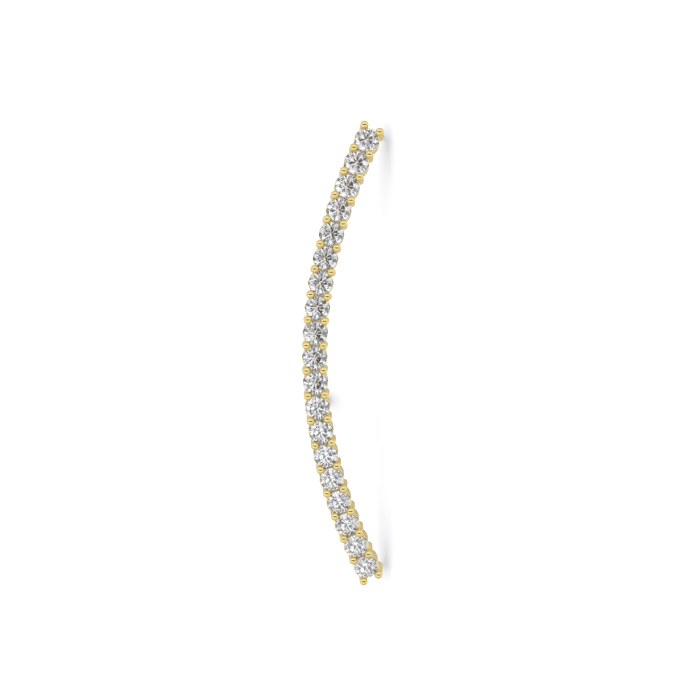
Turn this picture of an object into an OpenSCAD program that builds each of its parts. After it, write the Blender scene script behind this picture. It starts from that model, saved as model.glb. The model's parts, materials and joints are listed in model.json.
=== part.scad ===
// Ear climber: a slim curved row of round stones in one gold setting, with a straight ear post.
// Millimetres, +Z up. The piece lies as it rests by itself on a table: the row stands on edge
// with its hollow side down, on the feet of its two end prongs and on the tip of the post.
// The row runs along X with its upper end at +X, and the stones face -Y and a little up.

/* [Stones] */
// Number of stones in the row, odd so that one sits in the middle
stone_count = 19; // [15:2:21]
// Diameter of each stone across its girdle
stone_d = 1.5; // [1.4:0.05:1.8]
// Gap between the girdles of two neighbours
stone_gap = 0.11; // [0.08:0.01:0.2]
// Width of the table between opposite corners
table_w = 0.86; // [0.75:0.01:0.95]
// Slope of the crown's main facets, in degrees
crown_angle = 34.5; // [31:0.5:37]
// Slope of the pavilion's main facets, in degrees
pavilion_angle = 40.75; // [39:0.25:42.5]
// Thickness of the girdle where it is widest
girdle_t = 0.045; // [0.04:0.005:0.06]

/* [Row] */
// Angle that each end of the row turns towards its hollow side, in degrees
bend_angle = 26; // [20:1:30]
// Extra bend in the middle of the row, as a share of the even bend
middle_bend = 0.16; // [0:0.02:0.3]
// Angle that each end of the row leans back towards the ear, in degrees
lean_angle = 9; // [5:1:11]

/* [Cups] */
// Thickness of the cup's wall round the seat of its stone
cup_wall = 0.06; // [0.04:0.01:0.1]
// Bore through the cup, behind the stone
cup_bore_d = 1.2; // [1:0.05:1.3]
// Depth of the cup's foot below the girdle
cup_depth = 1.4; // [1.2:0.05:1.6]
// Drop of the cup's rim below the middle of the girdle
rim_drop = 0.05; // [0.03:0.01:0.1]
// Clearance between a stone and the metal round it
seat_clear = 0.02; // [0.01:0.005:0.03]
// Width of the slot between two cups
slot_w = 0.12; // [0.08:0.01:0.16]
// Depth of the slot between two cups, below the rim
slot_depth = 0.35; // [0.2:0.05:0.6]

/* [Prongs] */
// Diameter of the ball on each prong
ball_d = 0.55; // [0.5:0.01:0.6]
// Height of the ball's centre above the girdle
ball_rise = 0.12; // [0.08:0.01:0.2]
// Overlap of the ball over the edge of the stone
ball_grip = 0.055; // [0.04:0.005:0.08]
// Diameter of the prong's wire
prong_d = 0.48; // [0.4:0.02:0.5]
// Length of the prong's foot below the cups
foot_len = 0.1; // [0.05:0.05:0.3]

/* [Ear post] */
// Stone that carries the post, counted from the upper end
post_stone = 13; // [12:1:13]
// Diameter of the post
post_d = 0.9; // [0.8:0.05:1]
// Length of the post behind the cups
post_len = 10.5; // [9:0.5:12]
// Chamfer round the tip of the post
tip_chamfer = 0.15; // [0.05:0.05:0.3]
// Thickness of the plate that closes the cup in front of the post
plate_t = 0.3; // [0.2:0.05:0.4]

/* [Hidden] */
stone_names = [for (i = [1:stone_count]) str("stone_", i < 10 ? "0" : "", i)];
$fn = 64;

stone_r = stone_d / 2;
pitch = stone_d + stone_gap;
middle = (stone_count + 1) / 2;
last_cup = middle - 1;
row_end = stone_count / 2;
seat_d = stone_d + 2 * seat_clear;
cup_d = seat_d + 2 * cup_wall;
solve_steps = 12;

// Stations count pitches from the middle stone, up the row: stones stand on whole ones,
// prongs on the halves between them. x is towards the hollow side, y up the row, z out of it.
function share(s) = s / row_end;
function turn(s) = bend_angle * share(s) * (1 + middle_bend * (1 - share(s) * share(s)));
function lean(s) = -lean_angle * share(s);
function turned(s, p) = [
    p.x * cos(turn(s)) + p.y * sin(turn(s)),
    p.y * cos(turn(s)) - p.x * sin(turn(s)),
    p.z
];
function leaned(s, p) = [
    p.x,
    p.y * cos(lean(s)) - p.z * sin(lean(s)),
    p.y * sin(lean(s)) + p.z * cos(lean(s))
];
function facing(s, p) = leaned(s, turned(s, p));
function half_step(s) = facing(s, [0, pitch / 2, 0]);
function spot(s) = s == 0 ? [0, 0, 0]
    : s > 0 ? spot(s - 0.5) + half_step(s - 0.25)
    : spot(s + 0.5) - half_step(s + 0.25);
function on_row(s, p) = spot(s) + facing(s, p);

// Prongs: the ball grips both stones beside it, and the wire stands just clear of their girdles.
ball_r = ball_d / 2;
prong_r = prong_d / 2;
function beside(reach) = sqrt(reach * reach - pitch * pitch / 4);
ball_x = beside(stone_r + ball_r - ball_grip);
prong_x = beside(stone_r + seat_clear + prong_r);
foot_z = -cup_depth - foot_len;

// Ear post
post_r = post_d / 2;
post_s = middle - round(post_stone);
post_root_z = -cup_depth + plate_t / 2;
post_tip_z = -cup_depth - post_len;

// Rest: the piece tips about the feet of its end prongs until the post's tip touches too.
// Both ends stand alike, so one angle sets it, and a few rounds of the same step find it.
function low_on_ring(s, p, r, tilt) =
    let (
        down = [cos(tilt), 0, -sin(tilt)],
        axis = facing(s, [0, 0, 1]),
        flat = down - (down * axis) * axis
    )
    on_row(s, p) + r * flat / norm(flat);
function foot_low(tilt) = low_on_ring(row_end, [prong_x, 0, foot_z], prong_r, tilt);
function tip_low(tilt) = low_on_ring(post_s, [0, 0, post_tip_z + tip_chamfer], post_r, tilt);
function settled(tilt, steps) =
    let (gap = tip_low(tilt) - foot_low(tilt))
    steps < 1 ? tilt : settled(atan(gap.x / gap.z), steps - 1);
rest_tilt = settled(0, solve_steps);

// The origin is under the middle of the piece, on the table.
function height_of(p) = -(p.x * cos(rest_tilt) - p.z * sin(rest_tilt));
function depth_of(p) = -(p.x * sin(rest_tilt) + p.z * cos(rest_tilt));
floor_z = height_of(foot_low(rest_tilt));
ball_depths = [for (s = [-row_end:1:row_end]) for (side = [-1, 1])
    depth_of(on_row(s, [side * ball_x, 0, ball_rise]))];
front_y = min(ball_depths) - ball_r;
post_axis = facing(post_s, [0, 0, -1]);
tip_flat = sqrt(1 - pow(depth_of(post_axis), 2)) * (post_r - tip_chamfer);
back_y = depth_of(on_row(post_s, [0, 0, post_tip_z])) + tip_flat;
middle_y = (front_y + back_y) / 2;

module lying() {
    translate([0, -middle_y, -floor_z])
        rotate([0, 90 - rest_tilt, -90])
            children();
}

module at_station(s) {
    translate(spot(s))
        rotate([lean(s), 0, 0])
            rotate([0, 0, -turn(s)])
                children();
}

// Round brilliant cut: 32 girdle points, 8 main facets above and below, and the halves between
// them. Heights run from the middle of the girdle. Star and lower halves have their usual reach.
star_reach = 0.5;
lower_reach = 0.78;
main_step = 45;
girdle_points = 32;
girdle_step = 360 / girdle_points;
table_r = table_w / 2;
half_angle = main_step / 2;
crown_h = (stone_r - table_r) * tan(crown_angle);
pavilion_h = stone_r * tan(pavilion_angle);
star_r = table_r * cos(half_angle) + star_reach * (stone_r - table_r * cos(half_angle));
star_h = (stone_r - star_r * cos(half_angle)) * tan(crown_angle);
lower_r = stone_r * (1 - lower_reach);
lower_h = (stone_r - lower_r * cos(half_angle)) * tan(pavilion_angle);
// The halves meet the round girdle in shallow scallops between their corners.
chord_gap = stone_r * (1 - cos(girdle_step));
half_mid = stone_r * cos(girdle_step);
function scallop(r, h) = chord_gap * h / (half_mid - r * cos(girdle_step));
upper_dip = scallop(star_r, star_h);
lower_dip = scallop(lower_r, lower_h);
function polar(r, a, z) = [r * cos(a), r * sin(a), z];
function odd(j) = j % 2;

module brilliant() {
    mains = 360 / main_step;
    tables = [for (k = [0:mains - 1]) polar(table_r, k * main_step, girdle_t / 2 + crown_h)];
    stars = [for (k = [0:mains - 1])
        polar(star_r, k * main_step + half_angle, girdle_t / 2 + star_h)];
    tops = [for (j = [0:girdle_points - 1])
        polar(stone_r, j * girdle_step, girdle_t / 2 - odd(j) * upper_dip)];
    bottoms = [for (j = [0:girdle_points - 1])
        polar(stone_r, j * girdle_step, -girdle_t / 2 + odd(j) * lower_dip)];
    lowers = [for (k = [0:mains - 1])
        polar(lower_r, k * main_step + half_angle, -girdle_t / 2 - lower_h)];
    culet = [[0, 0, -girdle_t / 2 - pavilion_h]];
    star0 = mains;
    top0 = star0 + mains;
    bottom0 = top0 + girdle_points;
    lower0 = bottom0 + girdle_points;
    culet0 = lower0 + mains;
    per_main = girdle_points / mains;
    function m(k) = (k + mains) % mains;
    function g(j) = (j + girdle_points) % girdle_points;
    faces = concat(
        [[for (k = [0:mains - 1]) mains - 1 - k]],
        [for (k = [0:mains - 1]) [k, m(k + 1), star0 + k]],
        [for (k = [0:mains - 1]) [k, star0 + k, top0 + g(k * per_main), star0 + m(k - 1)]],
        [for (k = [0:mains - 1]) for (j = [k * per_main, k * per_main + 2])
            [star0 + k, top0 + g(j + 2), top0 + g(j + 1), top0 + g(j)]],
        [for (j = [0:girdle_points - 1])
            [top0 + j, top0 + g(j + 1), bottom0 + g(j + 1), bottom0 + j]],
        [for (k = [0:mains - 1]) for (j = [k * per_main, k * per_main + 2])
            [lower0 + k, bottom0 + g(j), bottom0 + g(j + 1), bottom0 + g(j + 2)]],
        [for (k = [0:mains - 1])
            [culet0, lower0 + m(k - 1), bottom0 + g(k * per_main), lower0 + k]]
    );
    polyhedron(points = concat(tables, stars, tops, bottoms, lowers, culet), faces = faces);
}

// Room for one stone: its outline turned round its axis, with the seat's clearance added
module stone_room() {
    side_r = seat_d / 2;
    side_h = girdle_t / 2 + seat_clear;
    rotate_extrude()
        polygon([
            [0, -side_h - side_r * tan(pavilion_angle)],
            [side_r, -side_h],
            [side_r, side_h],
            [star_r + seat_clear, girdle_t / 2 + star_h + seat_clear],
            [table_r + seat_clear, girdle_t / 2 + crown_h + seat_clear],
            [0, girdle_t / 2 + crown_h + seat_clear]
        ]);
}

module cup() {
    translate([0, 0, -cup_depth])
        cylinder(d = cup_d, h = cup_depth - rim_drop);
}

// The bore runs through, but it stops at the plate where the cup carries the post.
module cup_bore(s) {
    floor_t = s == post_s ? plate_t : -foot_len;
    translate([0, 0, -cup_depth + floor_t])
        cylinder(d = cup_bore_d, h = cup_depth - floor_t);
}

module prong(side) {
    translate([side * prong_x, 0, foot_z])
        cylinder(r = prong_r, h = ball_rise - foot_z);
    translate([side * ball_x, 0, ball_rise])
        sphere(r = ball_r);
}

module cup_slot() {
    slot_len = 2 * (prong_x - prong_r);
    translate([-slot_len / 2, -slot_w / 2, -rim_drop - slot_depth])
        cube([slot_len, slot_w, slot_depth + rim_drop]);
}

module post() {
    translate([0, 0, post_tip_z + tip_chamfer])
        cylinder(r = post_r, h = post_root_z - post_tip_z - tip_chamfer);
    translate([0, 0, post_tip_z])
        cylinder(r1 = post_r - tip_chamfer, r2 = post_r, h = tip_chamfer);
}

// Each cup is seated for its own stone, and slotted where it meets its neighbours.
module seated_cup(s) {
    difference() {
        at_station(s) cup();
        at_station(s) cup_bore(s);
        at_station(s) stone_room();
        if (s > -last_cup) at_station(s - 0.5) cup_slot();
        if (s < last_cup) at_station(s + 0.5) cup_slot();
    }
}

// Each prong is notched for the stones that it holds: two, or one at the ends of the row.
module notched_prong(s, side) {
    difference() {
        at_station(s) prong(side);
        if (s > -row_end) at_station(s - 0.5) stone_room();
        if (s < row_end) at_station(s + 0.5) stone_room();
    }
}

module setting() {
    color("goldenrod")
        lying() {
            for (s = [-last_cup:last_cup]) seated_cup(s);
            for (s = [-row_end:row_end]) for (side = [-1, 1]) notched_prong(s, side);
            at_station(post_s) post();
        }
}

module stone(number) {
    color("lavender")
        lying()
            at_station(middle - number)
                brilliant();
}

setting();
for (i = [1:stone_count]) stone(i);
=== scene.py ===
# %% [markdown]
# # An ear climber: nineteen small round stones in one curved row of gold
#
# This lesson dresses the measured model of a slim ear climber. The stones are already cut
# to their true facets, so they stay and only get a finish. The gold is made again, finer:
# cups, ball prongs and the ear post, all soldered into one body as a goldsmith would.
# The piece lies on a pale table, on the feet of its end prongs and on the tip of its post.

# %% Load the measured model
import json
import math
import bpy
import bmesh
from mathutils import Euler, Matrix, Vector


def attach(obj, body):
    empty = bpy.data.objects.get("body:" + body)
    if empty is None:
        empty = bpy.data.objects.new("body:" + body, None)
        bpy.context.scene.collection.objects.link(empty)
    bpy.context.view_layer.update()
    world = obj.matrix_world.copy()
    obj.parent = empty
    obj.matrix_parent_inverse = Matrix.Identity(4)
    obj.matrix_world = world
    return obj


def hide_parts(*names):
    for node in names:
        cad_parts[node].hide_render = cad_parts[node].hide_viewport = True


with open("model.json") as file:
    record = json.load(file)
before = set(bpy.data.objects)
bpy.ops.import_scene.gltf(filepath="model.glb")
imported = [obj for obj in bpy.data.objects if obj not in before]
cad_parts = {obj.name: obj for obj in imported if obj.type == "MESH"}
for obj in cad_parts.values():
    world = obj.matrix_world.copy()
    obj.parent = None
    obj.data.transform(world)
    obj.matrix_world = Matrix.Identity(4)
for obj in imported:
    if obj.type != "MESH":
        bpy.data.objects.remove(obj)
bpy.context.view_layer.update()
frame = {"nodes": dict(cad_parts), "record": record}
MM = 0.001
STONES = sorted(name for name in frame["nodes"] if name.startswith("stone_"))

# %% [markdown]
# ## The sizes
#
# All sizes are in millimetres and are the same as in the measured model, because the gold
# has to close round stones that aren't made here. Each is named where it is first needed.
# A stone is 1.5 mm across. A station is a place on the row: stones stand on whole ones,
# prongs on the halves between them, and the middle stone is station 0.

# %% Sizes of the row and the places of its prongs
STONE_D = 1.5
STONE_GAP = 0.11
PITCH = STONE_D + STONE_GAP
BEND = math.radians(26)
MIDDLE_BEND = 0.16
LEAN = math.radians(9)
SEAT_CLEAR = 0.02
SEAT_R = STONE_D / 2 + SEAT_CLEAR
BALL_R = 0.275
BALL_GRIP = 0.055
WIRE_R = 0.24


def beside(reach):
    """Side step of a prong that reaches as far as this from both stones beside it."""
    return math.sqrt(reach ** 2 - PITCH ** 2 / 4)


BALL_X = beside(STONE_D / 2 + BALL_R - BALL_GRIP)
WIRE_X = beside(SEAT_R + WIRE_R)
print("ball and wire stand beside the row's middle line by", round(BALL_X, 3), round(WIRE_X, 3))

# %% [markdown]
# ## How the piece lies
#
# The measured model says where its post is. The post's slope tells how far the whole row
# tips back as it rests, and the post's middle tells where the row's middle stone lies. So
# neither the tilt nor the place is typed here.


# %% Find the resting pose from the ear post
CUP_FOOT = -1.4
POST_STATION = -3
POST_LEN = 10.5
TIP_CHAMFER = 0.15


def turned(station):
    """Direction of the row's own axes at a station, in the flat frame of the middle stone."""
    share = station / (len(STONES) / 2)
    turn = BEND * share * (1 + MIDDLE_BEND * (1 - share ** 2))
    return Matrix.Rotation(-LEAN * share, 3, "X") @ Matrix.Rotation(-turn, 3, "Z")


def spot(station):
    """Place of a station, half a pitch at a time from the middle stone."""
    if station == 0:
        return Vector()
    way = math.copysign(0.5, station)
    return spot(station - way) + turned(station - way / 2) @ Vector((0, way * PITCH, 0))


post = next(m for m in frame["record"]["mounts"] if m["name"] == "ear_post")
post_lean = LEAN * -POST_STATION / (len(STONES) / 2)
rest_tilt = math.asin(-post["axis"][2] / math.cos(post_lean))
LYING = Euler((0, math.pi / 2 - rest_tilt, -math.pi / 2)).to_matrix()
wall_len = POST_LEN - TIP_CHAMFER
post_middle = spot(POST_STATION) + turned(POST_STATION) @ Vector((0, 0, CUP_FOOT - wall_len / 2))
MIDDLE = Vector(post["pos_m"]) / MM - LYING @ post_middle
print("tips back by", round(math.degrees(rest_tilt), 2), "degrees, middle stone at", MIDDLE)

# %% [markdown]
# ## A bench for Geometry Nodes
#
# Geometry Nodes build the gold, because one cup and one pair of prongs repeat along a rule.
# `fed` adds one node to any tree and links what feeds it. A small class lays out a whole tree
# with it: `size` adds a named input, `put` adds a node, and `made` turns the result into a
# plain mesh. Inputs are set by their identifier before the first evaluation, so the tree
# never runs with wrong sizes.


# %% One node at a time
def fed(tree, kind, feeds, **settings):
    """A node with its settings, fed by sockets or plain values."""
    node = tree.nodes.new(kind)
    for key, value in settings.items():
        setattr(node, key, value)
    for key, feed in feeds.items():
        for one in feed if isinstance(feed, list) else [feed]:
            if isinstance(one, bpy.types.NodeSocket):
                tree.links.new(one, node.inputs[key])
            else:
                node.inputs[key].default_value = one
    return node


def reckoned(tree, operation, first, second=0.0):
    """One sum of two numbers."""
    return fed(tree, "ShaderNodeMath", {0: first, 1: second}, operation=operation).outputs[0]


print("helpers for any tree:", fed.__name__, reckoned.__name__)


# %% The bench
class Bench:
    """One Geometry Nodes tree, laid out by name."""

    def __init__(self, name):
        self.tree = bpy.data.node_groups.new(name, "GeometryNodeTree")
        self.entry = self.tree.nodes.new("NodeGroupInput")
        self.exit = self.tree.nodes.new("NodeGroupOutput")
        self.tree.interface.new_socket(
            "Geometry", in_out="OUTPUT", socket_type="NodeSocketGeometry")
        self.values = {}

    def size(self, name, value, kind="NodeSocketFloat"):
        """A named input of the tree."""
        socket = self.tree.interface.new_socket(name, in_out="INPUT", socket_type=kind)
        self.values[socket.identifier] = value
        return self.entry.outputs[name]

    def put(self, kind, feeds, output=0, **settings):
        """A node in this tree. Gives one of its outputs."""
        return fed(self.tree, kind, feeds, **settings).outputs[output]

    def math(self, operation, first, second=0.0):
        """One sum of two numbers in this tree."""
        return reckoned(self.tree, operation, first, second)

    def vector(self, x=0.0, y=0.0, z=0.0):
        """A vector of three numbers or sockets."""
        return self.put("ShaderNodeCombineXYZ", {0: x, 1: y, 2: z})

    def moved(self, shape, **feeds):
        """The shape, moved, turned or scaled."""
        return self.put("GeometryNodeTransform", {"Geometry": shape, **feeds})

    def made(self, name, last):
        """The tree's result as a plain object that rides nowhere yet."""
        self.tree.links.new(last, self.exit.inputs[0])
        piece = bpy.data.objects.new(name, bpy.data.meshes.new(name + "_start"))
        bpy.context.scene.collection.objects.link(piece)
        modifier = piece.modifiers.new(name, "NODES")
        modifier.node_group = self.tree
        for identifier, value in self.values.items():
            modifier[identifier] = value
        graph = bpy.context.evaluated_depsgraph_get()
        mesh = bpy.data.meshes.new_from_object(piece.evaluated_get(graph), depsgraph=graph)
        piece.modifiers.remove(modifier)
        piece.data = mesh
        mesh.name = name
        return piece


gold = Bench("gold_setting_tree")
print("bench ready for", gold.tree.name)

# %% [markdown]
# ## The curved row
#
# The row is one line of points, two to a pitch. Each point turns a little further round the
# curve than the one before it, and both ends lean back towards the ear. The places are the
# running sum of the half steps, which is what Accumulate Field gives. The place of the middle
# point is taken off, so that the middle stone is the origin.

# %% The row's points and their turns
count = gold.size("Stones", len(STONES), "NodeSocketInt")
pitch = gold.size("Pitch", PITCH)
bend = gold.size("Bend", BEND)
middle_bend = gold.size("Middle Bend", MIDDLE_BEND)
lean = gold.size("Lean", LEAN)
index = gold.put("GeometryNodeInputIndex", {})


def turn_at(shift):
    """Rotation of the row, this many stations above each point."""
    half_steps = gold.math("ADD", gold.math("SUBTRACT", index, count), 2 * shift)
    share = gold.math("DIVIDE", half_steps, count)
    flat = gold.math("SUBTRACT", 1.0, gold.math("MULTIPLY", share, share))
    swell = gold.math("ADD", gold.math("MULTIPLY", flat, middle_bend), 1.0)
    turn = gold.math("MULTIPLY", gold.math("MULTIPLY", share, bend), swell)
    back = gold.math("MULTIPLY", gold.math("MULTIPLY", share, lean), -1.0)
    leaning = gold.put("FunctionNodeEulerToRotation", {0: gold.vector(x=back)})
    turning = gold.put(
        "FunctionNodeEulerToRotation", {0: gold.vector(z=gold.math("MULTIPLY", turn, -1.0))})
    return gold.put(
        "FunctionNodeRotateRotation", {0: leaning, 1: turning}, rotation_space="LOCAL")


half_pitch = gold.vector(y=gold.math("MULTIPLY", pitch, 0.5))
step = gold.put("FunctionNodeRotateVector", {0: half_pitch, 1: turn_at(0.25)})
run = gold.put("GeometryNodeAccumulateField", {0: step}, "Trailing", data_type="FLOAT_VECTOR")
middle_run = gold.put(
    "GeometryNodeFieldAtIndex", {"Index": count, "Value": run}, data_type="FLOAT_VECTOR")
place = gold.put("ShaderNodeVectorMath", {0: run, 1: middle_run}, operation="SUBTRACT")
points = gold.math("ADD", gold.math("MULTIPLY", count, 2.0), 1.0)
line = gold.put("GeometryNodeMeshLine", {"Count": points})
row = gold.put("GeometryNodeSetPosition", {"Geometry": line, "Position": place})
row_turn = turn_at(0.0)
print("points on the row:", 2 * len(STONES) + 1, "and named inputs so far:", len(gold.values))


# %% Copies along the row
def along(shape, picked):
    """The shape at each picked point of the row."""
    copies = gold.put(
        "GeometryNodeInstanceOnPoints",
        {"Points": row, "Instance": shape, "Rotation": row_turn, "Selection": picked})
    return gold.put("GeometryNodeRealizeInstances", {0: copies})


def every(step_size, first):
    """Picks the points whose number leaves this rest."""
    rest = gold.math("MODULO", index, float(step_size))
    return gold.math("COMPARE", rest, float(first))


at_stones = every(2, 1)
at_prongs = every(2, 0)
at_post = gold.math("COMPARE", index, float(len(STONES) + 2 * POST_STATION))
print("stones stand on odd points, prongs on even ones, the post on", len(STONES) + 2 * POST_STATION)

# %% [markdown]
# ## Spinning an outline
#
# Cups, prongs, the post and the stones' seats are all round, so each is an outline spun
# about its own axis, as on a lathe. An outline is a short list of corners, each a radius and
# a height. Curve to Mesh sweeps it round a circle. The outline is first moved in by the
# circle's radius, so that its own axis falls on the circle's middle, and the faces are
# flipped at last to point outwards.

# %% The lathe
SPIN_RADIUS = 1.0
WELD = 0.0001


def outline(corners, closed):
    """A curve through corners of (radius, height)."""
    switch = gold.tree.nodes.new("GeometryNodeIndexSwitch")
    switch.data_type = "VECTOR"
    while len(switch.index_switch_items) < len(corners):
        switch.index_switch_items.new()
    gold.tree.links.new(index, switch.inputs["Index"])
    for number, (radius, height) in enumerate(corners):
        gold.tree.links.new(gold.vector(x=radius, y=height), switch.inputs[number + 1])
    edge = gold.put("GeometryNodeMeshLine", {"Count": len(corners)})
    edge = gold.put(
        "GeometryNodeSetPosition", {"Geometry": edge, "Position": switch.outputs[0]})
    curve = gold.put("GeometryNodeMeshToCurve", {"Mesh": edge})
    return gold.put("GeometryNodeSetSplineCyclic", {"Geometry": curve, "Cyclic": closed})


def eased(curve, radius, points_each):
    """The outline with its corners rounded."""
    return gold.put(
        "GeometryNodeFilletCurve",
        {"Curve": curve, "Radius": radius, "Limit Radius": True, "Count": points_each},
        mode="POLY")


def spun(curve, sides):
    """The outline spun about the height axis."""
    profile = gold.moved(curve, Translation=(-SPIN_RADIUS, 0, 0), Rotation=(math.pi, 0, 0))
    ring = gold.put(
        "GeometryNodeCurvePrimitiveCircle", {"Resolution": sides, "Radius": SPIN_RADIUS})
    shell = gold.put("GeometryNodeCurveToMesh", {"Curve": ring, "Profile Curve": profile})
    shell = gold.put("GeometryNodeFlipFaces", {0: shell})
    return gold.put("GeometryNodeMergeByDistance", {"Geometry": shell, "Distance": WELD})


def finished(shape, number):
    """Marks every face of the shape with the number of its finish."""
    return gold.put(
        "GeometryNodeStoreNamedAttribute", {"Geometry": shape, "Name": "finish", "Value": number},
        data_type="INT", domain="FACE")


CUP_FINISH, PRONG_FINISH, POST_FINISH, RIM_FINISH, RECESS_FINISH = range(5)
print("kinds of gold to mark:", RECESS_FINISH + 1)

# %% [markdown]
# ## The cups
#
# A stone sits in an open cup: a short tube with a slanted seat inside its rim. The rim shows
# as a thin bright ring beside each stone. It is filed to slope outwards and its edges are
# rounded, so that it catches the light all round. The rim and the drilled bore are cut bright
# and get a paler gold, a painted sheen for the white tent that they mirror. The seat under the
# stone is frosted and gets a near-white gold, painted light that lifts the shade under the
# stone. The wall is polished. So each face is numbered by its place: its distance from the
# axis and its height.

# %% One cup
PAVILION_ANGLE = math.radians(40.75)
GIRDLE_T = 0.045
CUP_WALL = 0.06
CUP_R = SEAT_R + CUP_WALL
BORE_R = 0.6
RIM = -0.05
CUP_SIDES = 64
EDGE_POINTS = 3
RIM_SLOPE = 0.04
EDGE_ROUND = 0.03
seat_floor = -GIRDLE_T / 2 - SEAT_CLEAR - (SEAT_R - BORE_R) * math.tan(PAVILION_ANGLE)
seat_at_rim = SEAT_R + (RIM + GIRDLE_T / 2 + SEAT_CLEAR) / math.tan(PAVILION_ANGLE)
cup_r = gold.size("Cup Radius", CUP_R)
bore_r = gold.size("Bore Radius", BORE_R)
cup_foot = gold.size("Cup Foot", CUP_FOOT)
rim = gold.size("Rim", RIM)
seat_r = gold.size("Seat Radius at the Rim", seat_at_rim)
seat_z = gold.size("Seat Floor", seat_floor)
rim_slope = gold.size("Rim Slope", RIM_SLOPE)
edge_round = gold.size("Edge Rounding", EDGE_ROUND)
outer_rim = gold.math("SUBTRACT", rim, rim_slope)
cup_corners = [
    (bore_r, cup_foot), (cup_r, cup_foot), (cup_r, outer_rim), (seat_r, rim), (bore_r, seat_z)]
cup = spun(eased(outline(cup_corners, True), edge_round, EDGE_POINTS), CUP_SIDES)
print("cup:", len(cup_corners), "corners, seat floor at", round(seat_floor, 3))

# %% Number the cup's faces
x_y_z = gold.tree.nodes.new("ShaderNodeSeparateXYZ")
gold.tree.links.new(gold.put("GeometryNodeInputPosition", {}), x_y_z.inputs[0])
from_axis = gold.put(
    "ShaderNodeVectorMath", {0: gold.vector(x_y_z.outputs[0], x_y_z.outputs[1])}, "Value",
    operation="LENGTH")
outside = gold.math("GREATER_THAN", from_axis, seat_r)
near_rim = gold.math("GREATER_THAN", x_y_z.outputs[2], gold.math("SUBTRACT", outer_rim, edge_round))
above_foot = gold.math("GREATER_THAN", x_y_z.outputs[2], gold.math("ADD", cup_foot, edge_round))
above_bore = gold.math("GREATER_THAN", x_y_z.outputs[2], seat_z)
inside = gold.math("SUBTRACT", 1.0, outside)
on_rim = gold.math("MULTIPLY", outside, near_rim)
drilled = gold.math("MULTIPLY", inside, above_foot)
on_seat = gold.math("MULTIPLY", inside, above_bore)
# Rims and bores take the finish with a painted sheen, seats the one with painted light.
bright = gold.math("MULTIPLY", gold.math("ADD", on_rim, drilled), RIM_FINISH)
cup_finish = gold.math(
    "ADD", bright, gold.math("MULTIPLY", on_seat, RECESS_FINISH - RIM_FINISH))
cup = finished(cup, cup_finish)
print("cup: seat", RECESS_FINISH, "rim and bore", RIM_FINISH, "wall", CUP_FINISH)

# %% [markdown]
# ## The prongs
#
# A prong is a round wire with a ball on its end. The goldsmith pushes the ball over the
# edges of both stones, so the wire bends inwards, and it swells a little towards the ball.
# The wire is spun with its ball in one outline and then bent by Set Position, with a smooth
# step along its height. A pair is the prong and its copy turned half round.

# %% The prong's outline
BALL_RISE = 0.12
FOOT_LEN = 0.1
PRONG_SIDES = 32
BALL_STEPS = 14
FOOT_ROUND = 0.06
FOOT_STEPS = 3
BEND_START = -1.1
BEND_STEPS = 6
NECK_R = 0.265
wire_r = gold.size("Wire Radius", WIRE_R)
neck_r = gold.size("Neck Radius", NECK_R)
ball_r = gold.size("Ball Radius", BALL_R)
ball_rise = gold.size("Ball Rise", BALL_RISE)
wire_foot = gold.size("Wire Foot", CUP_FOOT - FOOT_LEN)
wire_x = gold.size("Wire Side Step", WIRE_X)
ball_shift = gold.size("Ball Shift", BALL_X - WIRE_X)


def arc_corner(radius, height, size, angle):
    """A corner on an arc about (radius, height)."""
    across = gold.math("ADD", gold.math("MULTIPLY", size, math.cos(angle)), radius)
    up = gold.math("ADD", gold.math("MULTIPLY", size, math.sin(angle)), height)
    return across, up


foot_arc = [
    arc_corner(
        gold.math("SUBTRACT", wire_r, FOOT_ROUND), gold.math("ADD", wire_foot, FOOT_ROUND),
        FOOT_ROUND, -math.pi / 2 * (1 - k / FOOT_STEPS))
    for k in range(FOOT_STEPS + 1)]
neck_angle = -math.acos(NECK_R / BALL_R)
ball_arc = [
    arc_corner(0.0, ball_rise, ball_r, neck_angle + (math.pi / 2 - neck_angle) * k / BALL_STEPS)
    for k in range(BALL_STEPS)]
swelling = gold.math("SUBTRACT", neck_r, wire_r)
bend_foot = [
    (gold.math("ADD", wire_r, gold.math("MULTIPLY", swelling, k / BEND_STEPS)),
     BEND_START * (1 - k / BEND_STEPS))
    for k in range(BEND_STEPS)]
pole = (0.0, gold.math("ADD", ball_rise, ball_r))
prong_corners = [(0.0, wire_foot)] + foot_arc + bend_foot + ball_arc + [pole]
prong = spun(outline(prong_corners, False), PRONG_SIDES)
print("prong:", len(prong_corners), "corners")

# %% Bend the prong and pair it
height = gold.put("ShaderNodeSeparateXYZ", {0: gold.put("GeometryNodeInputPosition", {})}, 2)
bent = gold.put(
    "ShaderNodeMapRange", {"Value": height, "From Min": BEND_START, "From Max": ball_rise},
    interpolation_type="SMOOTHSTEP")
pushed = gold.vector(x=gold.math("MULTIPLY", bent, ball_shift))
prong = gold.put("GeometryNodeSetPosition", {"Geometry": prong, "Offset": pushed})
prong = gold.moved(prong, Translation=gold.vector(x=wire_x))
pair = gold.put(
    "GeometryNodeJoinGeometry", {0: [prong, gold.moved(prong, Rotation=(0, 0, math.pi))]})
pair = finished(pair, PRONG_FINISH)
print("prong: its ball moves by", round(BALL_X - WIRE_X, 3))

# %% [markdown]
# ## The ear post
#
# The photograph doesn't show it, but a climber hangs on one post through the ear. It is a
# plain straight wire, soldered to a small plate that closes the cup in front of it. The
# solder leaves a soft fillet at the root, and the tip is filed to a soft chamfer. The plate
# starts a hair above the cup's foot, so that its corner isn't welded to the fillet's end.

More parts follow.
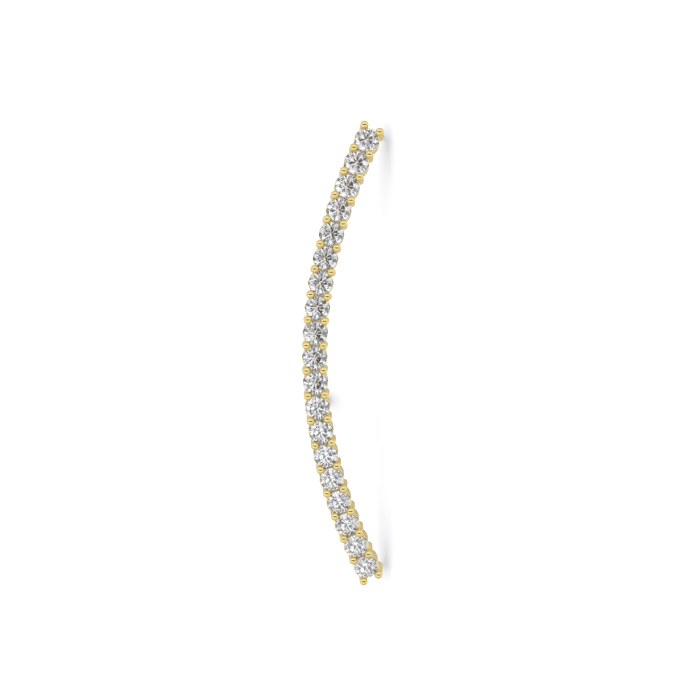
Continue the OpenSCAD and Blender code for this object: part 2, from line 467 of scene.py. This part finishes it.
# %% The post and its plate
POST_R = 0.45
PLATE_T = 0.3
PLATE_STEP = 3 * WELD
POST_SIDES = 48
POST_EASE = 0.05
SOLDER_FILLET = 0.12
SOLDER_STEPS = 5
post_r = gold.size("Post Radius", POST_R)
post_tip = gold.size("Post Tip", CUP_FOOT - POST_LEN)
tip_corners = [
    (0.0, post_tip),
    (gold.math("SUBTRACT", post_r, TIP_CHAMFER), post_tip),
    (post_r, gold.math("ADD", post_tip, TIP_CHAMFER))]
solder = [
    arc_corner(
        gold.math("ADD", post_r, SOLDER_FILLET), gold.math("SUBTRACT", cup_foot, SOLDER_FILLET),
        SOLDER_FILLET, math.pi - math.pi / 2 * k / SOLDER_STEPS)
    for k in range(SOLDER_STEPS + 1)]
plate_r = gold.math("ADD", bore_r, SEAT_CLEAR)
plate_top = gold.math("ADD", cup_foot, PLATE_T)
plate = [(plate_r, gold.math("ADD", cup_foot, PLATE_STEP)), (plate_r, plate_top)]
post_outline = outline(tip_corners + solder + plate + [(0.0, plate_top)], False)
ear_post = finished(spun(eased(post_outline, POST_EASE, EDGE_POINTS), POST_SIDES), POST_FINISH)
print("post:", 2 * POST_R, "across and", POST_LEN, "long")

# %% [markdown]
# ## Seats and slots
#
# A setter cuts each prong to the stones that it holds and saws a slot between two cups.
# Both are cutters here: a stone's own outline with a little clearance, and a thin block with
# a round bottom. The slot is shallower than in the measured model: solder fills it nearly to
# the rim. Pale gold shows between the stones, as the faces that the cutters leave get a
# near-white gold: painted light that lifts their shade.

# %% The cutters
SLOT_W = 0.12
SLOT_DEPTH = 0.04
ROOM_SIDES = 64
CROWN_ANGLE = math.radians(34.5)
TABLE_W = 0.86
SLOT_SIDES = 16
side_h = GIRDLE_T / 2 + SEAT_CLEAR
star_r = (STONE_D + TABLE_W) / 4
crown_top = side_h + (STONE_D - TABLE_W) / 2 * math.tan(CROWN_ANGLE)
star_top = side_h + (STONE_D / 2 - star_r) * math.tan(CROWN_ANGLE)
room_corners = [
    (0.0, -side_h - SEAT_R * math.tan(PAVILION_ANGLE)),
    (SEAT_R, -side_h),
    (SEAT_R, side_h),
    (star_r + SEAT_CLEAR, star_top),
    (TABLE_W / 2 + SEAT_CLEAR, crown_top),
    (0.0, crown_top)]
room = finished(spun(outline(room_corners, False), ROOM_SIDES), RECESS_FINISH)
slot_w = gold.size("Slot Width", SLOT_W)
slot_depth = gold.size("Slot Depth", SLOT_DEPTH)
slot_len = 2 * (WIRE_X - WIRE_R)
slot_block = gold.put(
    "GeometryNodeMeshCube", {"Size": gold.vector(slot_len, slot_w, slot_depth)})
slot_middle = gold.math("SUBTRACT", gold.math("MULTIPLY", slot_depth, -0.5), -RIM)
slot_block = gold.moved(slot_block, Translation=gold.vector(z=slot_middle))
slot_block = finished(slot_block, RECESS_FINISH)
slot_round = gold.put(
    "GeometryNodeMeshCylinder",
    {"Vertices": SLOT_SIDES, "Radius": gold.math("MULTIPLY", slot_w, 0.5), "Depth": slot_len})
slot_bottom = gold.math("SUBTRACT", gold.math("MULTIPLY", slot_depth, -1.0), -RIM)
slot_round = gold.moved(
    slot_round, Translation=gold.vector(z=slot_bottom), Rotation=(0, math.pi / 2, 0))
slot_round = finished(slot_round, RECESS_FINISH)
print("slot:", round(slot_len, 2), "long,", SLOT_W, "wide and", SLOT_DEPTH, "deep")

# %% [markdown]
# ## Soldering
#
# Neighbouring cups overlap a little, as soldered ones do. The union needs parts that don't
# cross themselves, so odd and even cups go in apart. The Manifold solver joins about a
# hundred shapes in seconds and leaves one closed body. The cutters then come off it.


# %% Join, cut and lay the setting down
def solved(operation, shapes, body=None):
    """A union of the shapes, or the body without them."""
    feeds = {"Mesh 2": shapes}
    if body is not None:
        feeds["Mesh 1"] = body
    return gold.put("GeometryNodeMeshBoolean", feeds, operation=operation, solver="MANIFOLD")


soldered = solved(
    "UNION",
    [along(cup, every(4, 1)), along(cup, every(4, 3)), along(pair, at_prongs),
     along(ear_post, at_post)])
setting_cut = solved(
    "DIFFERENCE",
    [along(room, at_stones), along(slot_block, at_prongs), along(slot_round, at_prongs)],
    soldered)
laid = gold.moved(
    setting_cut, Translation=MIDDLE * MM, Rotation=LYING.to_euler(), Scale=(MM, MM, MM))
print("nodes in the tree:", len(gold.tree.nodes))

# %% [markdown]
# ## Shared surface effects
#
# The finishes of gold, the stones and the table share one effect: fine hand work that is
# nowhere quite even. It is a shader node group, built once. It gives a mask of long faint
# strokes, a mask of broad clouds, and a height for the Bump node. Each finish then sets its
# own strength.


# %% The handwork group
CLOUD_DETAIL = 3.0
STROKE_DETAIL = 2.0


def handwork_group():
    """Clouds, strokes and their height, on Object coordinates."""
    group = bpy.data.node_groups.new("handwork", "ShaderNodeTree")
    sockets = group.interface
    for name, value in (("Cloud Scale", 400.0), ("Stroke Scale", 9000.0), ("Stroke Length", 12.0)):
        socket = sockets.new_socket(name, in_out="INPUT", socket_type="NodeSocketFloat")
        socket.default_value = value
    for name in ("Clouds", "Strokes", "Height"):
        sockets.new_socket(name, in_out="OUTPUT", socket_type="NodeSocketFloat")
    entry = group.nodes.new("NodeGroupInput")
    leave = group.nodes.new("NodeGroupOutput")
    place_in = group.nodes.new("ShaderNodeTexCoord").outputs["Object"]
    clouds = fed(
        group, "ShaderNodeTexNoise",
        {"Vector": place_in, "Scale": entry.outputs["Cloud Scale"], "Detail": CLOUD_DETAIL})
    long_axis = fed(
        group, "ShaderNodeCombineXYZ",
        {"X": entry.outputs["Stroke Length"], "Y": 1.0, "Z": 1.0})
    stretched = fed(
        group, "ShaderNodeVectorMath", {0: place_in, 1: long_axis.outputs[0]},
        operation="DIVIDE")
    strokes = fed(
        group, "ShaderNodeTexNoise",
        {"Vector": stretched.outputs[0], "Scale": entry.outputs["Stroke Scale"],
         "Detail": STROKE_DETAIL})
    height = reckoned(group, "ADD", clouds.outputs[0], strokes.outputs[0])
    group.links.new(clouds.outputs[0], leave.inputs["Clouds"])
    group.links.new(strokes.outputs[0], leave.inputs["Strokes"])
    group.links.new(height, leave.inputs["Height"])
    return group


HANDWORK = handwork_group()
print("handwork:", len(HANDWORK.nodes), "nodes")

# %% [markdown]
# ## A worked surface
#
# Every finish starts the same way: two close tones that the clouds mix, and a roughness that
# the strokes vary. One helper makes such a material and gives back its parts, so that each
# finish only adds what is its own.

# %% The start of every finish
NOISE_LOW = 0.3
NOISE_HIGH = 0.7


def spread(tree, value, low, high):
    """Maps the range where noise mostly lies to low..high."""
    node = fed(
        tree, "ShaderNodeMapRange",
        {"Value": value, "From Min": NOISE_LOW, "From Max": NOISE_HIGH,
         "To Min": low, "To Max": high})
    return node.outputs["Result"]


def blended(tree, first, second, share, how="MIX"):
    """Two colours, mixed by a share."""
    node = fed(
        tree, "ShaderNodeMix", {"A": first, "B": second, "Factor": share},
        data_type="RGBA", blend_type=how)
    return node.outputs["Result"]


def handworked(name, work, pale, deep, share, smooth, rough):
    """A material with cloudy tones and stroked roughness: itself, its tree, shader and masks."""
    finish = bpy.data.materials.new(name)
    finish.use_nodes = True
    tree = finish.node_tree
    shader = tree.nodes["Principled BSDF"]
    worked = tree.nodes.new("ShaderNodeGroup")
    worked.node_tree = HANDWORK
    for key, value in work.items():
        worked.inputs[key].default_value = value
    masks = worked.outputs
    tone = blended(
        tree, (*pale, 1.0), (*deep, 1.0), spread(tree, masks["Clouds"], 0.0, share))
    tree.links.new(tone, shader.inputs["Base Color"])
    tree.links.new(spread(tree, masks["Strokes"], smooth, rough), shader.inputs["Roughness"])
    return finish, tree, shader, masks


print("noise between", NOISE_LOW, "and", NOISE_HIGH, "is spread over each finish")

# %% [markdown]
# ## Gold
#
# Fourteen carat yellow gold is a metal with a warm, slightly pale colour. A Principled
# shader at full Metallic takes that colour as its reflection. Polish is never perfect: the
# strokes vary the roughness a little, the clouds vary the tone, and a very small bump breaks
# the reflections. Balls are burnished brightest. Rims and bores are bright cut, and their
# colour is a paler gold: a painted sheen for the white tent that their clean faces mirror. No
# polishing thread reaches under a stone or into a slot, so the gold there is frosted. Its
# colour is nearly white: painted light that lifts the shade in these recesses. The post is
# drawn wire.
# A metal turns white where it is seen edge on, and the Specular Tint keeps its edges golden.

# %% Five finishes of gold
GOLD = (0.96, 0.79, 0.34)
DEEP_GOLD = (0.91, 0.72, 0.275)
# Painted sheen: a paler gold for rims and bores, standing for the white tent they mirror.
PAINTED_SHEEN_GOLD = (0.95, 0.87, 0.60)
# Painted light: a near-white gold that lifts the shade under the stones and in the slots.
RECESS_PAINTED_LIGHT_GOLD = (0.98, 0.95, 0.84)
EDGE_GOLD = (1.0, 0.93, 0.72, 1.0)
DEEP_SHARE = 0.5
RELIEF = 0.002


def gold_finish(name, pale, deep, smooth, rough, bump, work):
    """Gold of two close tones with its own polish."""
    finish, tree, shader, masks = handworked(name, work, pale, deep, DEEP_SHARE, smooth, rough)
    shader.inputs["Metallic"].default_value = 1.0
    shader.inputs["Specular Tint"].default_value = EDGE_GOLD
    relief = fed(
        tree, "ShaderNodeBump",
        {"Height": masks["Height"], "Strength": bump, "Distance": RELIEF * MM})
    tree.links.new(relief.outputs["Normal"], shader.inputs["Normal"])
    return finish


BALL_WORK = {"Cloud Scale": 700.0, "Stroke Scale": 6000.0, "Stroke Length": 3.0}
CUP_WORK = {"Cloud Scale": 500.0, "Stroke Scale": 9000.0, "Stroke Length": 6.0}
POST_WORK = {"Cloud Scale": 300.0, "Stroke Scale": 12000.0, "Stroke Length": 1.0}
FINISHES = {
    CUP_FINISH: gold_finish(
        "cup_gold", GOLD, DEEP_GOLD, smooth=0.12, rough=0.24, bump=0.3, work=CUP_WORK),
    PRONG_FINISH: gold_finish(
        "burnished_gold", GOLD, DEEP_GOLD, smooth=0.05, rough=0.12, bump=0.15, work=BALL_WORK),
    POST_FINISH: gold_finish(
        "drawn_wire_gold", GOLD, DEEP_GOLD, smooth=0.14, rough=0.26, bump=0.3, work=POST_WORK),
    # Rims and bores: a paler gold, a painted sheen for the white tent they mirror.
    RIM_FINISH: gold_finish(
        "bright_cut_painted_sheen_gold", PAINTED_SHEEN_GOLD, GOLD, smooth=0.08, rough=0.16, bump=0.2, work=BALL_WORK),
    # Seats and slots: frosted, and a near-white gold, painted light that lifts their shade.
    RECESS_FINISH: gold_finish(
        "frosted_painted_light_gold", RECESS_PAINTED_LIGHT_GOLD, PAINTED_SHEEN_GOLD, smooth=0.40, rough=0.55, bump=0.4, work=CUP_WORK)}
print("finishes:", [finish.name for finish in FINISHES.values()])

# %% [markdown]
# ## The finished setting
#
# The tree ends in Realize Instances and Set Material. The finish numbers that the shapes
# carried through the union now choose the material of each face. Edges sharper than
# 32 degrees stay sharp, and all others are shaded smooth.

# %% Make the setting, put it on the root body and hide the measured one
SHARP_ANGLE = math.radians(32)
whole = gold.put("GeometryNodeRealizeInstances", {0: laid})
edge_angle = gold.put("GeometryNodeInputMeshEdgeAngle", {})
sharp = gold.math("GREATER_THAN", edge_angle, SHARP_ANGLE)
whole = gold.put("GeometryNodeSetShadeSmooth", {0: whole, 2: True}, domain="FACE")
whole = gold.put(
    "GeometryNodeSetShadeSmooth", {0: whole, 1: sharp, 2: False}, domain="EDGE")
finish_number = gold.put(
    "GeometryNodeInputNamedAttribute", {"Name": "finish"}, data_type="INT")
for number, finish in FINISHES.items():
    picked = gold.math("COMPARE", finish_number, float(number))
    whole = gold.put(
        "GeometryNodeSetMaterial", {"Geometry": whole, "Selection": picked, "Material": finish})
gold_setting = gold.made("gold_setting", whole)
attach(gold_setting, "root")
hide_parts("setting")
measured = bmesh.new()
measured.from_mesh(gold_setting.data)
loose = sum(not edge.is_manifold for edge in measured.edges)
volume = measured.calc_volume(signed=True) / MM ** 3
measured.free()
print("setting: faces", len(gold_setting.data.polygons), "open edges", loose, "mm3", round(volume, 2))

# %% [markdown]
# ## The stones
#
# The facets are already right, so a stone needs only its optics: a clear body that bends
# light as strongly as diamond. The shine and the dark facets then come from the room, as in
# a real stone. Faint clouds vary its clearness, and faint strokes its polish.

# %% Stone finish
DIAMOND_IOR = 2.417
STONE_CLEAR = (0.98, 0.992, 1.0)
STONE_CLOUDED = (0.94, 0.955, 0.965)
STONE_POLISH = 0.012
STONE_WORK = {"Cloud Scale": 450.0}


def stone_finish():
    """Clear, colourless and strongly refracting."""
    finish, _, shader, _ = handworked(
        "clear_stone", STONE_WORK, STONE_CLEAR, STONE_CLOUDED,
        share=1.0, smooth=0.0, rough=STONE_POLISH)
    shader.inputs["IOR"].default_value = DIAMOND_IOR
    shader.inputs["Transmission Weight"].default_value = 1.0
    return finish


clear_stone = stone_finish()
for name in STONES:
    stone = frame["nodes"][name]
    stone.data.materials.clear()
    stone.data.materials.append(clear_stone)
print("stones finished:", len(STONES))

# %% [markdown]
# ## The table
#
# The photograph's ground is almost white, with the faintest shadow. A wide pale sheet does
# that. It is matt, with clouds too weak to see as anything but life. For the camera it
# glows a little, which lifts its shadows as an overexposed ground does. Gold and stones
# don't mirror it: they see the light tent of a later step all round.

# %% Pale floor
FLOOR_SIZE = 4.0
FLOOR_CELLS = 8
FLOOR_PALE = (0.93, 0.93, 0.93)
FLOOR_DEEP = (0.915, 0.915, 0.92)
FLOOR_WORK = {"Cloud Scale": 6.0, "Stroke Scale": 900.0}
FLOOR_GLOSS = 0.2
GROUND_LIFT = 0.48


def grey(level):
    """A neutral colour."""
    return (level, level, level, 1.0)


def floor_finish():
    """Matt white with faint clouds."""
    finish, tree, shader, _ = handworked(
        "pale_table", FLOOR_WORK, FLOOR_PALE, FLOOR_DEEP, share=1.0, smooth=0.75, rough=0.9)
    shader.inputs["Specular IOR Level"].default_value = FLOOR_GLOSS
    ray = tree.nodes.new("ShaderNodeLightPath")
    lifted = blended(tree, grey(0.0), grey(GROUND_LIFT), ray.outputs["Is Camera Ray"])
    tree.links.new(lifted, shader.inputs["Emission Color"])
    shader.inputs["Emission Strength"].default_value = 1.0
    return finish


sheet = bmesh.new()
bmesh.ops.create_grid(
    sheet, x_segments=FLOOR_CELLS, y_segments=FLOOR_CELLS, size=FLOOR_SIZE / 2)
floor_mesh = bpy.data.meshes.new("table_top")
sheet.to_mesh(floor_mesh)
sheet.free()
floor = bpy.data.objects.new("table_top", floor_mesh)
floor_mesh.materials.append(floor_finish())
bpy.context.scene.collection.objects.link(floor)
floor.visible_glossy = False
floor.visible_transmission = False
print("table top:", FLOOR_SIZE, "m square")

# %% [markdown]
# ## The camera
#
# The photograph shows the row upright, from straight in front of its faces. The piece lies
# on its side here, so the camera lies down with it: it looks across the table and is rolled
# a quarter turn. The middle stone's place in the picture and its width fix the rest.

# %% Camera at the photograph's angle
PICTURE = 700
SENSOR = 36.0
CAMERA_AWAY = 60 * STONE_D
NEAREST_SHARE = 0.05
STONE_PIXELS = 23.36
MIDDLE_X, MIDDLE_Y = 314.6, 358.1
FACE_SIDE = math.radians(0.44)
FACE_UP = math.radians(5.33)
seen = Matrix.Rotation(FACE_SIDE, 3, "Y") @ Matrix.Rotation(FACE_UP, 3, "X")
camera_turn = LYING @ seen.transposed()
offset = Vector((
    (PICTURE / 2 - MIDDLE_X) / STONE_PIXELS * STONE_D,
    (MIDDLE_Y - PICTURE / 2) / STONE_PIXELS * STONE_D,
    CAMERA_AWAY))
camera_place = MIDDLE + camera_turn @ offset
camera_data = bpy.data.cameras.new("camera")
camera_data.sensor_width = SENSOR
camera_data.lens = STONE_PIXELS * CAMERA_AWAY / STONE_D * SENSOR / PICTURE
camera_data.clip_start = CAMERA_AWAY * MM * NEAREST_SHARE
camera = bpy.data.objects.new("camera", camera_data)
camera.matrix_world = Matrix.LocRotScale(camera_place * MM, camera_turn.to_quaternion(), None)
bpy.context.scene.collection.objects.link(camera)
bpy.context.scene.camera = camera
camera_elevation = math.degrees(math.asin(camera_turn.col[2].z))
print("camera looks down by", round(camera_elevation, 1), "degrees, lens", round(camera_data.lens, 1))

# %% [markdown]
# ## The light
#
# Polished gold and cut stones show the room more than themselves, so the room is drawn with
# care. It is a pale dome, as a jeweller's light tent is. Round the camera it is brightest,
# like one big soft box. It dims towards the back and past both ends of the row, and the
# cloth hangs in soft folds, so that every side of the gold has some light and shade. A
# narrow slot leaves room for the camera. That slot is the dark slit in each gold ball. Each
# level follows from where a ray points: how far towards the camera, up the picture and to
# its right. Those directions are fixed in the room, so other views show other sides.

# %% Levels of the dome and the ways that it is measured by
DOME_FRONT = (1.16, 1.17, 1.28, 1.0)
DOME_SIDE = 0.86
DOME_BACK = 0.66
DOME_TILT = 0.2
END_DIM = 0.3
CLOTH_SCALE = 2.2
CLOTH_LOW = 0.8
CLOTH_HIGH = 1.2
SLOT_TONE = (0.15, 0.06, 0.004, 1.0)
SLOT_HALF = 0.37
SLOT_SOFT = 0.16
SLOT_TAPER = 0.27
CLOTH_DETAIL = 1.0
BACK_TO_SIDE = (-1.0, -0.4)
SIDE_TO_FRONT = (-0.3, 0.9)
SLOT_IN_FRONT = (-0.1, 0.1)
to_camera = camera_turn.col[2]
picture_up = camera_turn.col[1]
picture_right = camera_turn.col[0]
print("dome: levels", DOME_FRONT[:3], DOME_SIDE, DOME_BACK, "front, side and back")


# %% Draw the dome
def eased_step(tree, value, low, high):
    """0 at low, 1 at high, smooth between."""
    node = fed(
        tree, "ShaderNodeMapRange", {"Value": value, "From Min": low, "From Max": high},
        interpolation_type="SMOOTHSTEP")
    return node.outputs["Result"]


def dome(tree, way):
    """What gold sees: bright round the camera, with a slot for it."""
    toward, up, right = (
        fed(tree, "ShaderNodeVectorMath", {0: way, 1: tuple(axis)}, operation="DOT_PRODUCT")
        .outputs["Value"]
        for axis in (to_camera, picture_up, picture_right))
    ahead = reckoned(tree, "ADD", toward, reckoned(tree, "MULTIPLY", up, DOME_TILT))
    tone = blended(
        tree, grey(DOME_BACK), grey(DOME_SIDE), eased_step(tree, ahead, *BACK_TO_SIDE))
    tone = blended(tree, tone, DOME_FRONT, eased_step(tree, ahead, *SIDE_TO_FRONT))
    endways = reckoned(tree, "MULTIPLY", reckoned(tree, "MULTIPLY", up, up), END_DIM)
    tone = blended(tree, tone, grey(0.0), endways)
    folds = fed(
        tree, "ShaderNodeTexNoise",
        {"Vector": way, "Scale": CLOTH_SCALE, "Detail": CLOTH_DETAIL})
    cloth = spread(tree, folds.outputs[0], CLOTH_LOW, CLOTH_HIGH)
    tone = blended(tree, tone, cloth, 1.0, "MULTIPLY")
    across = reckoned(tree, "MULTIPLY", reckoned(tree, "MULTIPLY", right, right), SLOT_TAPER)
    lens = reckoned(tree, "ADD", reckoned(tree, "ABSOLUTE", up), across)
    in_slot = reckoned(
        tree, "MULTIPLY", eased_step(tree, lens, SLOT_HALF, SLOT_HALF - SLOT_SOFT),
        eased_step(tree, toward, *SLOT_IN_FRONT))
    return blended(tree, tone, SLOT_TONE, in_slot)


print("slot: half width", SLOT_HALF, "and softness", SLOT_SOFT)

# %% [markdown]
# ## The panels
#
# A stone needs more: it sparkles because each facet picks another patch of the room. Light
# that comes out of a stone therefore meets a wall of panels, some white, some grey and some
# blue-black, each with a trace of violet or green. The Light Path node tells which ray asks.
# The camera's own rays see plain white, so the ground has no horizon. Light has to pass many
# facets before it leaves a stone, so the renderer may follow it for many bounces.

# %% The panels that the stones see, and the finished room
PANEL_SCALE = 3.5
PANEL_EDGE = 0.02
PANEL_DARK = (0.0, 0.012, 0.045, 1.0)
PANEL_TONES = [(0.42, 0.36), (0.60, 0.82), (0.80, 1.25)]
VIOLET = (1.02, 0.955, 1.035, 1.0)
GREEN = (0.95, 1.04, 0.965, 1.0)


def panels(tree, way):
    """What stones see: flat patches, each with a tone and a tint by its own number."""
    cells = fed(tree, "ShaderNodeTexVoronoi", {"Vector": way, "Scale": PANEL_SCALE})
    random = fed(tree, "ShaderNodeSeparateColor", {0: cells.outputs["Color"]})
    tone = PANEL_DARK
    for start, level in PANEL_TONES:
        picked = eased_step(tree, random.outputs[0], start - PANEL_EDGE, start + PANEL_EDGE)
        tone = blended(tree, tone, grey(level), picked)
    tint = blended(tree, VIOLET, GREEN, random.outputs[1])
    return blended(tree, tone, tint, 1.0, "MULTIPLY")


def studio():
    """The room as a world."""
    world = bpy.data.worlds.new("light_tent")
    world.use_nodes = True
    tree = world.node_tree
    tree.nodes.clear()
    way = tree.nodes.new("ShaderNodeTexCoord").outputs["Generated"]
    ray = tree.nodes.new("ShaderNodeLightPath")
    seen_by = blended(tree, dome(tree, way), panels(tree, way), ray.outputs["Is Transmission Ray"])
    seen_by = blended(tree, seen_by, grey(1.0), ray.outputs["Is Camera Ray"])
    shine = fed(tree, "ShaderNodeBackground", {"Color": seen_by, "Strength": 1.0})
    leave = tree.nodes.new("ShaderNodeOutputWorld")
    tree.links.new(shine.outputs[0], leave.inputs["Surface"])
    return world


scene = bpy.context.scene
scene.world = studio()
scene.view_settings.view_transform = "Standard"
scene.cycles.max_bounces = 32
scene.cycles.transmission_bounces = 24
scene.cycles.glossy_bounces = 24
scene.cycles.caustics_reflective = False
scene.cycles.caustics_refractive = False
print("room:", scene.world.name, "nodes", len(scene.world.node_tree.nodes))
